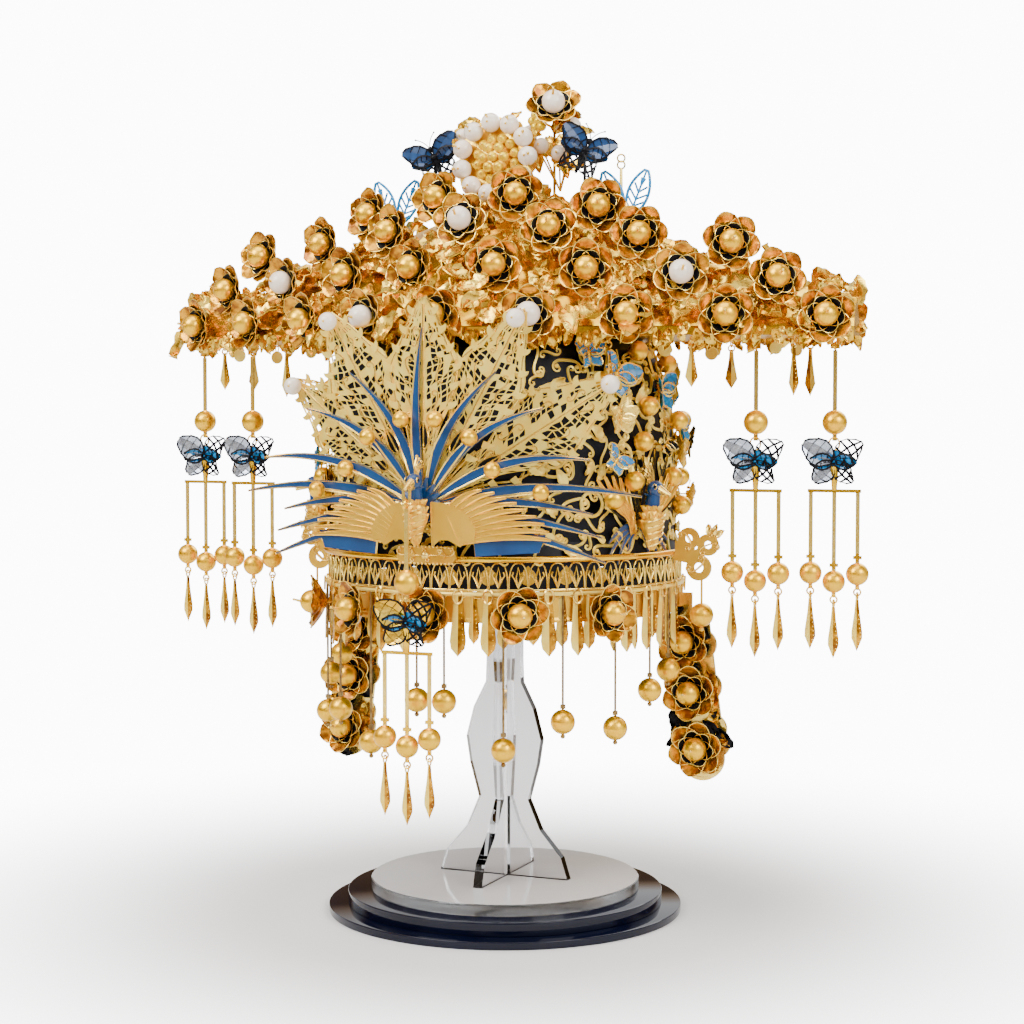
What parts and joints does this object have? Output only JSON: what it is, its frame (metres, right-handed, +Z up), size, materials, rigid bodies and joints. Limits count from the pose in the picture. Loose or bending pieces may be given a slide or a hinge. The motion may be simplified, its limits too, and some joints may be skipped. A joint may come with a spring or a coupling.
{
  "type": "phoenix crown on a display stand",
  "caption": "Gilt phoenix crown with a wide flowered roof, blue phoenix blades, pearls and hanging pendants, on a clear round stand.",
  "frame": {"origin": "middle of the underside of the stand's base plate", "axes": "+Z up, -Y to the crown's front, +X to the crown's right-hand side as seen from the front"},
  "size_m": [0.3864, 0.2196, 0.4288],
  "materials": {
    "gilt": "polished",
    "petal_gilt": "polished",
    "filigree_gilt": "satin",
    "amber_bead": "pearlescent",
    "white_pearl": "pearlescent",
    "blue_enamel": "gloss",
    "black_enamel": "gloss",
    "clear_acrylic": "polished",
    "dark_acrylic": "polished"
  },
  "bodies": {
    "crown": {"base_plate": "dark_acrylic", "base_step": "dark_acrylic", "clear_disc": "clear_acrylic", "post_plate_side": "clear_acrylic", "post_plate_front": "clear_acrylic", "post_rest": "clear_acrylic", "head_band": "gilt", "lattice_band": "black_enamel", "rail_ring": "gilt", "band_fringe": "gilt", "drop_beads": "amber_bead", "band_flowers": "petal_gilt", "band_pearls": "amber_bead", "cap_shell": "black_enamel", "butterflies_blue": "blue_enamel", "butterflies_gold": "gilt", "spray_beads": "amber_bead", "roof_board": "gilt", "roof_shell": "gilt", "roof_flowers_front": "petal_gilt", "roof_flowers_back": "petal_gilt", "roof_pearls": "amber_bead", "white_pearls": "white_pearl", "medallion": "gilt", "medallion_pearls": "white_pearl", "top_flower": "petal_gilt", "top_pearl": "white_pearl", "top_butterflies": "blue_enamel", "leaf_sprigs": "blue_enamel", "phoenix_mount": "gilt", "phoenix_body": "blue_enamel", "phoenix_wing_left": "gilt", "phoenix_wing_right": "gilt", "phoenix_blades": "blue_enamel", "phoenix_beads": "amber_bead", "phoenix_plaque": "gilt", "fan_pearls": "white_pearl", "fan_plate_1": "filigree_gilt", "fan_plate_2": "filigree_gilt", "fan_plate_3": "filigree_gilt", "fan_plate_4": "filigree_gilt", "fan_plate_5": "filigree_gilt", "side_phoenixes": "gilt", "side_scrolls": "gilt", "scroll_beads": "amber_bead", "lappet_left": "gilt", "lappet_right": "gilt", "lappet_flowers": "petal_gilt", "lappet_pearls": "amber_bead"},
    "hanging_outer_left": {"pendant_outer_left": "gilt", "drops_outer_left": "amber_bead"},
    "hanging_inner_left": {"pendant_inner_left": "gilt", "drops_inner_left": "amber_bead"},
    "hanging_front": {"pendant_front": "gilt", "drops_front": "amber_bead"},
    "hanging_inner_right": {"pendant_inner_right": "gilt", "drops_inner_right": "amber_bead"},
    "hanging_outer_right": {"pendant_outer_right": "gilt", "drops_outer_right": "amber_bead"}
  },
  "joints": [
    {"name": "swing_outer_left", "type": "hinge", "parent": "crown", "child": "hanging_outer_left", "pos_m": [-0.17612, -0.00653, 0.291], "axis": [1, 0, 0], "range_deg": [-25, 25]},
    {"name": "swing_inner_left", "type": "hinge", "parent": "crown", "child": "hanging_inner_left", "pos_m": [-0.13986, -0.01762, 0.291], "axis": [1, 0, 0], "range_deg": [-25, 25]},
    {"name": "swing_front", "type": "hinge", "parent": "crown", "child": "hanging_front", "pos_m": [0, -0.118, 0.216], "axis": [1, 0, 0], "range_deg": [-25, 2]},
    {"name": "swing_inner_right", "type": "hinge", "parent": "crown", "child": "hanging_inner_right", "pos_m": [0.13986, -0.01762, 0.291], "axis": [1, 0, 0], "range_deg": [-25, 25]},
    {"name": "swing_outer_right", "type": "hinge", "parent": "crown", "child": "hanging_outer_right", "pos_m": [0.17612, -0.00653, 0.291], "axis": [1, 0, 0], "range_deg": [-25, 25]}
  ]
}
